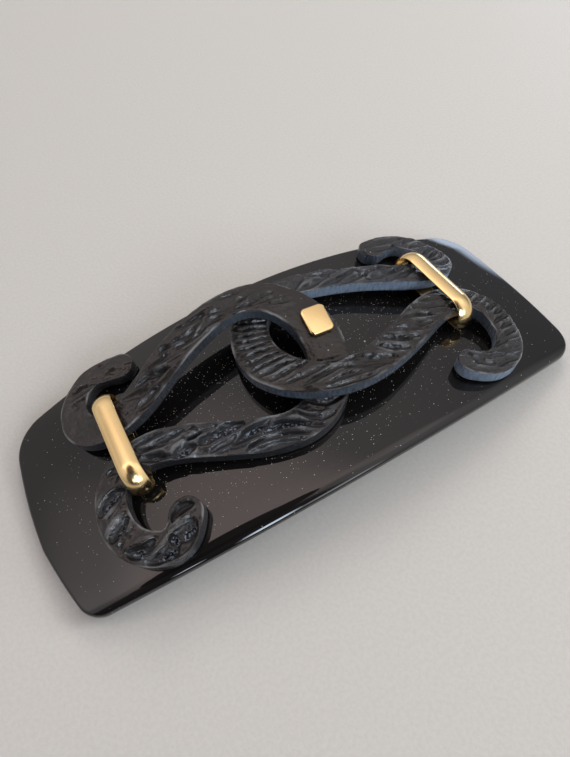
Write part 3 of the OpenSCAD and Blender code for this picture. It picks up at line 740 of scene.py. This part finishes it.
# columns: row of the route, painted bluish sheen on the carved top there
LEFT_PAINTED_SHEEN = [(0, 0.0), (12.5, 0.0), (14, 0.035), (16.5, 0.035), (18, 0.0)]
RIGHT_PAINTED_SHEEN = [(0, 0.03), (3, 0.03), (5, 0.0), (13, 0.0), (15, 0.06), (20, 0.06), (23, 0.02)]
# columns: row of the route, how freshly cut the grooves look there, which also sets how much
# painted shade and painted glints they get
LEFT_FRESH_CUT_AND_PAINTED_LIGHT = [(0, 0.7), (11.5, 0.7), (13, 1.0), (23, 1.0)]
RIGHT_FRESH_CUT_AND_PAINTED_LIGHT = [(0, 0.75), (23, 0.75)]
model_band("left_band", "left_loop", LEFT_ROUTE, LEFT_STROKES, LEFT_HAZE_AND_PAINTED_LIGHT, LEFT_PAINTED_SHEEN, LEFT_FRESH_CUT_AND_PAINTED_LIGHT, False,
           PLAQUE_ROW)
model_band("right_band", "right_loop", RIGHT_ROUTE, RIGHT_STROKES, RIGHT_HAZE_AND_PAINTED_LIGHT, RIGHT_PAINTED_SHEEN, RIGHT_FRESH_CUT_AND_PAINTED_LIGHT, True)

# %% [markdown]
# ## The keepers
# A keeper is a strip of plated brass bent round two arms like a flat D: wide shoulders on top, tight
# corners below. Its outer face is domed and its edges are soft. The section of the strip is drawn once, as
# a circle whose points move onto it.

# %% Section of the keeper's strip
KEEPER_LENGTH, KEEPER_HEIGHT, KEEPER_CORNER = 20.0, 5.7, 1.5
KEEPER_WIDTH, KEEPER_THICK, KEEPER_DOME = 3.6, 0.9, 0.5
# Powers below 1 square the circle a little, across and in height
WIDTH_POWER, HEIGHT_POWER = 0.7, 0.62


def strip_point(angle):
    """A point of the strip's section: X across the strip, Z outwards from its inner face."""
    c, s = math.cos(angle), math.sin(angle)
    x = math.copysign(abs(c) ** WIDTH_POWER, c) * KEEPER_WIDTH / 2
    outer = KEEPER_THICK - KEEPER_DOME * (2 * x / KEEPER_WIDTH) ** 2
    return x, outer * (1 + math.copysign(abs(s) ** HEIGHT_POWER, s)) / 2


print("the strip is", round(strip_point(math.pi / 2)[1], 2), "mm thick in its middle")

# %% [markdown]
# ## Carry the section round
# The section travels round the arms: straight runs are extruded and the four bends are spun, until the last
# ring meets the first and is merged with it. The wide shoulders get more steps than the tight corners.

# %% Carry the section round
RING_POINTS, SHOULDER_STEPS, CORNER_STEPS, RUN_STEPS = 64, 28, 12, 12
print("a keeper has", 2 * (SHOULDER_STEPS + CORNER_STEPS + RUN_STEPS), "rings of", RING_POINTS, "points")


def keeper_bmesh():
    half, shoulder = KEEPER_LENGTH / 2, KEEPER_HEIGHT - KEEPER_CORNER
    bm = bmesh.new()
    ring = bmesh.ops.create_circle(bm, cap_ends=False, segments=RING_POINTS, radius=1)["verts"]
    for vert in ring:
        x, z = strip_point(math.atan2(vert.co.y, vert.co.x))
        vert.co = (x, shoulder - half, KEEPER_HEIGHT - KEEPER_THICK + z)
    edges = bm.edges[:]

    def run(length, towards):
        nonlocal edges
        for _ in range(RUN_STEPS):
            grown = bmesh.ops.extrude_edge_only(bm, edges=edges)["geom"]
            edges = [e for e in grown if isinstance(e, bmesh.types.BMEdge)]
            verts = [v for v in grown if isinstance(v, bmesh.types.BMVert)]
            bmesh.ops.translate(bm, verts=verts, vec=(0, towards * length / RUN_STEPS, 0))

    def bend(y, z, steps):
        nonlocal edges
        spun = bmesh.ops.spin(bm, geom=edges, cent=(0, y, z), axis=(1, 0, 0), angle=-math.pi / 2,
                              steps=steps, use_merge=False, use_duplicate=False)["geom_last"]
        edges = [e for e in spun if isinstance(e, bmesh.types.BMEdge)]

    run(2 * (half - shoulder), 1)
    bend(half - shoulder, KEEPER_CORNER, SHOULDER_STEPS)
    bend(half - KEEPER_CORNER, KEEPER_CORNER, CORNER_STEPS)
    run(2 * (half - KEEPER_CORNER), -1)
    bend(KEEPER_CORNER - half, KEEPER_CORNER, CORNER_STEPS)
    bend(shoulder - half, KEEPER_CORNER, SHOULDER_STEPS)
    bmesh.ops.remove_doubles(bm, verts=bm.verts[:], dist=1e-3)
    bmesh.ops.recalc_face_normals(bm, faces=bm.faces[:])
    return bm


# %% [markdown]
# ## Seat the keepers
# Each keeper stands square to the arched sheet, close over it. A matrix says where: it slides the piece to
# its place on the arch, leans it by the arch's slope there, and turns it a little in plan.

# %% Seat the two keepers
def on_arch(x, y, lift):
    """The matrix that stands a small piece on the arch, square to the sheet."""
    spot = over_arch(TOP_RADIUS, np.float64(x), y, lift)
    return Matrix.Translation(Vector(spot)) @ Matrix.Rotation(math.asin(x / TOP_RADIUS), 4, "Y")


# columns: name, node, x, y, lift over the plate, turn in degrees
for name, node, x, y, lift, turn in (("left_strap", "left_keeper", -32.7, 2.7, 0.4, -1.5),
                                     ("right_strap", "right_keeper", 29.8, 2.4, 0.7, 1.0)):
    keeper_bm = keeper_bmesh()
    place = on_arch(x, y, lift) @ Matrix.Rotation(math.radians(turn), 4, "Z")
    bmesh.ops.transform(keeper_bm, matrix=place, verts=keeper_bm.verts[:])
    finish_piece(name, keeper_bm, gold, node)

# %% [markdown]
# ## The plaque
# The plaque is a small plain tile of plated brass with round corners and a soft upper rim. A cube, scaled
# to size, gets its four upright edges bevelled wide and then its top rim bevelled round.

# %% Model the plaque
PLAQUE_SIZE = (5.4, 4.6, 0.8)
PLAQUE_CORNER, PLAQUE_RIM = 1.0, 0.32

plaque_bm = bmesh.new()
bmesh.ops.create_cube(plaque_bm, size=1)
bmesh.ops.scale(plaque_bm, vec=PLAQUE_SIZE, verts=plaque_bm.verts[:])
bmesh.ops.translate(plaque_bm, vec=(0, 0, PLAQUE_SIZE[2] / 2), verts=plaque_bm.verts[:])
upright = [e for e in plaque_bm.edges if abs(e.verts[0].co.z - e.verts[1].co.z) > 0.1]
bmesh.ops.bevel(plaque_bm, geom=upright, offset=PLAQUE_CORNER, segments=8, profile=0.5, affect="EDGES",
                material=-1)
rims = [e for e in plaque_bm.edges if all(v.co.z > PLAQUE_SIZE[2] - 1e-4 for v in e.verts)]
bmesh.ops.bevel(plaque_bm, geom=rims, offset=PLAQUE_RIM, segments=5, profile=0.5, affect="EDGES",
                material=-1)
print("the plaque has", len(plaque_bm.faces), "faces")

# %% [markdown]
# ## Seat the plaque
# It lies on the bend of the left band, so it takes its place, heading and slope from the band's route, with
# a little turn of its own.

# %% Seat the plaque
PLAQUE_SHIFT, PLAQUE_TURN = 0.6, -10.0
SEAT_GAP = 0.1
row, ahead, behind = (spline(LEFT_ROUTE, np.array([PLAQUE_ROW + d]))[0] for d in (0, 0.1, -0.1))
climb = ahead - behind
heading = math.atan2(climb[1], climb[0])
slope = math.atan2(climb[2], math.hypot(climb[0], climb[1]))
place = on_arch(row[0] - PLAQUE_SHIFT * math.sin(heading), row[1] + PLAQUE_SHIFT * math.cos(heading),
                row[2] + BAND_CROWN + SEAT_GAP)
for angle, axis in ((heading, "Z"), (-slope, "Y"), (math.radians(PLAQUE_TURN), "Z")):
    place = place @ Matrix.Rotation(angle, 4, axis)
bmesh.ops.transform(plaque_bm, matrix=place, verts=plaque_bm.verts[:])
finish_piece("gold_plaque", plaque_bm, gold, "plaque")

# %% [markdown]
# ## The clip
# Under the plate sits a long clip: a base bar glued to the sheet, an arm below it, a hinge barrel at one
# end and a catch at the other. The photograph hides it, so it stays plain. Strips and catch all start as
# a cube, scaled to size, with its upright corners bevelled wide and its rims bevelled fine.

# %% A block with eased edges
EASING = 0.25


def eased_block(size, corner):
    """A block under Z = 0 with rounded upright corners and softly rounded rims."""
    bm = bmesh.new()
    bmesh.ops.create_cube(bm, size=1)
    bmesh.ops.translate(bm, vec=(0, 0, -0.5), verts=bm.verts[:])
    bmesh.ops.scale(bm, vec=size, verts=bm.verts[:])
    upright = [e for e in bm.edges if abs(e.verts[0].co.z - e.verts[1].co.z) > size[2] / 2]
    bmesh.ops.bevel(bm, geom=upright, offset=corner, segments=8, profile=0.5, affect="EDGES", material=-1)
    rims = [e for e in bm.edges if abs(e.verts[0].co.z - e.verts[1].co.z) < size[2] / 2]
    bmesh.ops.bevel(bm, geom=rims, offset=EASING, segments=3, profile=0.5, affect="EDGES", material=-1)
    return bm


print("edges of the clip are eased by", EASING, "mm")

# %% [markdown]
# ## The strips
# Each strip is such a block, cut across every two millimetres, so that it can bend. The bar follows the
# underside of the plate, and the arm has a much flatter arc of its own.

# %% Cut and bend the strips of the clip
CLIP_LENGTH, CLIP_WIDTH, ARM_WIDTH, STRIP_THICK = 72.0, 9.0, 6.0, 1.0
UNDER_RADIUS = ARCH_RADIUS - PLATE_THICK / 2 - SEAT_GAP
ARM_RADIUS, ARM_HEIGHT = 700.0, 2.6
STRIP_CUT_STEP = 2


def bent_strip(width, corner, radius, top):
    """A spring strip along X whose outer face is an arc of the given radius."""
    bm = eased_block((CLIP_LENGTH, width, STRIP_THICK), corner)
    for x in np.arange(STRIP_CUT_STEP - CLIP_LENGTH / 2, CLIP_LENGTH / 2, STRIP_CUT_STEP):
        cut_across(bm, (x, 0, 0), (1, 0, 0))
    for vert in bm.verts:
        x, y, z = vert.co
        vert.co = (x, y, top - radius + z + math.sqrt(radius ** 2 - x ** 2))
    return bm


bar_bm = bent_strip(CLIP_WIDTH, 2.5, UNDER_RADIUS, ARCH_Z + UNDER_RADIUS)
arm_bm = bent_strip(ARM_WIDTH, 0.6, ARM_RADIUS, ARM_HEIGHT)
bar_end, arm_end = (min(v.co.z for v in bm.verts) for bm in (bar_bm, arm_bm))
print("the bar ends", round(bar_end, 2), "mm up and the arm", round(arm_end, 2), "mm up")

# %% [markdown]
# ## Barrel and catch
# A hinge barrel is a short cylinder across one end, with eased caps, and the catch is a block that stands
# between the strips at the other end. All four meshes are then put into one bmesh, as one plain piece.

# %% Join the strips with the barrel and the catch
BARREL_RADIUS, BARREL_EASING, CATCH_LENGTH, CATCH_CORNER = 1.5, 0.3, 3.0, 0.5
barrel_bm = bmesh.new()
bmesh.ops.create_cone(barrel_bm, cap_ends=True, segments=40, radius1=BARREL_RADIUS, radius2=BARREL_RADIUS,
                      depth=CLIP_WIDTH)
caps = [e for e in barrel_bm.edges if abs(e.verts[0].co.z - e.verts[1].co.z) < 1e-4]
bmesh.ops.bevel(barrel_bm, geom=caps, offset=BARREL_EASING, segments=3, profile=0.5, affect="EDGES",
                material=-1)
barrel_height = (bar_end + arm_end + STRIP_THICK) / 2
barrel_place = Matrix.Translation((CLIP_LENGTH / 2 - BARREL_RADIUS, 0, barrel_height))
bmesh.ops.transform(barrel_bm, matrix=barrel_place @ Matrix.Rotation(math.pi / 2, 4, "X"),
                    verts=barrel_bm.verts[:])
catch_top = bar_end + STRIP_THICK / 2
catch_bm = eased_block((CATCH_LENGTH, ARM_WIDTH, catch_top - arm_end - STRIP_THICK / 2), CATCH_CORNER)
bmesh.ops.translate(catch_bm, vec=((CATCH_LENGTH - CLIP_LENGTH) / 2, 0, catch_top), verts=catch_bm.verts[:])

clip_bm = bmesh.new()
for member_bm in (bar_bm, arm_bm, barrel_bm, catch_bm):
    member_mesh = bpy.data.meshes.new("member")
    member_bm.to_mesh(member_mesh)
    member_bm.free()
    clip_bm.from_mesh(member_mesh)
    bpy.data.meshes.remove(member_mesh)
finish_piece("steel_clip", clip_bm, steel, "clip")

# %% [markdown]
# ## Floor
# The barrette lies on a pale, faintly textured table. Its grain is a fine noise that shifts the tone and
# lifts the surface a little. It isn't part of the object.

# %% Lay the table
table, tree, shader = new_material("pale_table")
spot = add(tree, "ShaderNodeTexCoord").outputs["Object"]
mottle = add(tree, "ShaderNodeTexNoise", {"Vector": spot, "Scale": 1500.0, "Detail": 3.0}).outputs[0]
grain = between(tree, mottle, 0.3, 0.7, 0, 1)
tree.links.new(blended(tree, grain, (0.380, 0.372, 0.350), (0.402, 0.394, 0.372)),
               shader.inputs["Base Color"])
shader.inputs["Roughness"].default_value = 0.5
lifted = add(tree, "ShaderNodeBump", {"Height": mottle, "Strength": 0.2, "Distance": 0.0003}).outputs[0]
tree.links.new(lifted, shader.inputs["Normal"])
floor_bm = bmesh.new()
bmesh.ops.create_grid(floor_bm, x_segments=1, y_segments=1, size=3)
floor_mesh = bpy.data.meshes.new("floor")
floor_bm.to_mesh(floor_mesh)
floor_bm.free()
floor_mesh.materials.append(table)
floor = bpy.data.objects.new("floor", floor_mesh)
bpy.context.scene.collection.objects.link(floor)
print("the table is", floor.dimensions.x, "m wide")

# %% [markdown]
# ## Studio light
# A polished black plate shows the room more than itself, so the room is drawn in the world: each light is
# a soft lobe round a direction. Area lamps alone would leave hard-edged shapes on the polish.

# %% A soft lobe of light
world = bpy.data.worlds.new("studio")
bpy.context.scene.world = world
world.use_nodes = True
sky = world.node_tree
toward = add(sky, "ShaderNodeTexCoord").outputs["Generated"]


def lobe(direction, inner, outer):
    """1 within the inner angle of a direction, 0 beyond the outer one."""
    nearness = add(sky, "ShaderNodeVectorMath", {0: toward, 1: Vector(direction).normalized()},
                   operation="DOT_PRODUCT").outputs["Value"]
    return between(sky, nearness, math.cos(math.radians(outer)), math.cos(math.radians(inner)), 0, 1)


def scaled(color, share):
    return add(sky, "ShaderNodeVectorMath", {0: color, "Scale": share}, operation="SCALE").outputs[0]


def summed(first, second):
    return add(sky, "ShaderNodeVectorMath", {0: first, 1: second}, operation="ADD").outputs[0]


print("the world starts with", len(sky.nodes), "nodes")

# %% [markdown]
# ## The room
# The room has a dim base. Warm panels hang overhead, the brightest nearly straight above, and weaker ones
# to the sides. Dark patches then take light away: a sharp-edged one high above, a wide one at the viewer's
# back and a faint one far out on the left. Cool windows come last, so that nothing dims them: four low in
# front, and one at the horizon on the right.

# %% Draw the room
# columns: direction, inner angle, outer angle, colour
PANELS = [
    ((-0.26, 0.22, 0.94), 10, 95, (0.70, 0.62, 0.59)),
    ((-0.22, 0.08, 0.97), 12, 34, (1.25, 0.93, 0.86)),
    ((-0.62, 0.35, 0.70), 4, 14, (0.70, 0.60, 0.60)),
    ((0.60, -0.60, 0.45), 10, 50, (0.55, 0.53, 0.52)),
    ((0.42, -0.12, 0.90), 8, 20, (0.55, 0.50, 0.46)),
]
# columns: direction, inner angle, outer angle, share of the light that is left out
DARK = [
    ((-0.28, -0.15, 0.948), 20.5, 21.8, 0.97),
    ((-0.42, -0.72, 0.55), 32, 40, 0.9),
    ((-0.603, 0.583, 0.545), 3, 18, 0.32),
]
WINDOWS = [
    ((-0.41, -0.80, 0.42), 1.5, 4.5, (13, 14.5, 16)),
    ((-0.12, -0.90, 0.42), 3, 8, (13, 14.5, 16)),
    ((-0.12, -0.80, 0.58), 3, 8, (11, 13, 16)),
    ((0.848, 0.530, 0.0), 9.6, 12.0, (3.2, 3.8, 4.7)),
    ((0.16, -0.88, 0.45), 4, 14, (3.6, 3.7, 3.9)),
]
room = (0.22, 0.23, 0.25)
for direction, inner, outer, color in PANELS:
    room = summed(room, scaled(color, lobe(direction, inner, outer)))
for direction, inner, outer, share in DARK:
    shaded = maths(sky, "MULTIPLY", lobe(direction, inner, outer), share)
    room = scaled(room, maths(sky, "SUBTRACT", 1.0, shaded))
for direction, inner, outer, color in WINDOWS:
    room = summed(room, scaled(color, lobe(direction, inner, outer)))
sky.links.new(room, sky.nodes["Background"].inputs["Color"])
print(len(PANELS), "panels,", len(DARK), "dark patches and", len(WINDOWS), "windows")


# %% [markdown]
# ## Two lamps
# The soft shadow on the table needs light from one side, and a room of lobes gives hardly any. Two large
# disk lamps do, on the right and at the far side. They stay out of reflections, where the room does better.

# %% Hang the lamps
def area_light(name, place, aim, size, power, color):
    data = bpy.data.lights.new(name, "AREA")
    data.shape, data.size, data.energy, data.color = "DISK", size, power, color
    light = bpy.data.objects.new(name, data)
    light.location = Vector(place)
    light.rotation_euler = (Vector(aim) - Vector(place)).to_track_quat("-Z", "Y").to_euler()
    light.visible_glossy = False
    bpy.context.scene.collection.objects.link(light)


area_light("window_right", (0.44, -0.20, 0.32), (0.05, 0.0, 0), 0.28, 2.5, (0.96, 0.98, 1.0))
area_light("window_far", (0.26, 0.34, 0.44), (0.04, 0.06, 0), 0.3, 1.1, (1.0, 0.98, 0.95))
bpy.context.scene.view_settings.view_transform = "Standard"
print("lamps:", [light.name for light in bpy.data.lights])
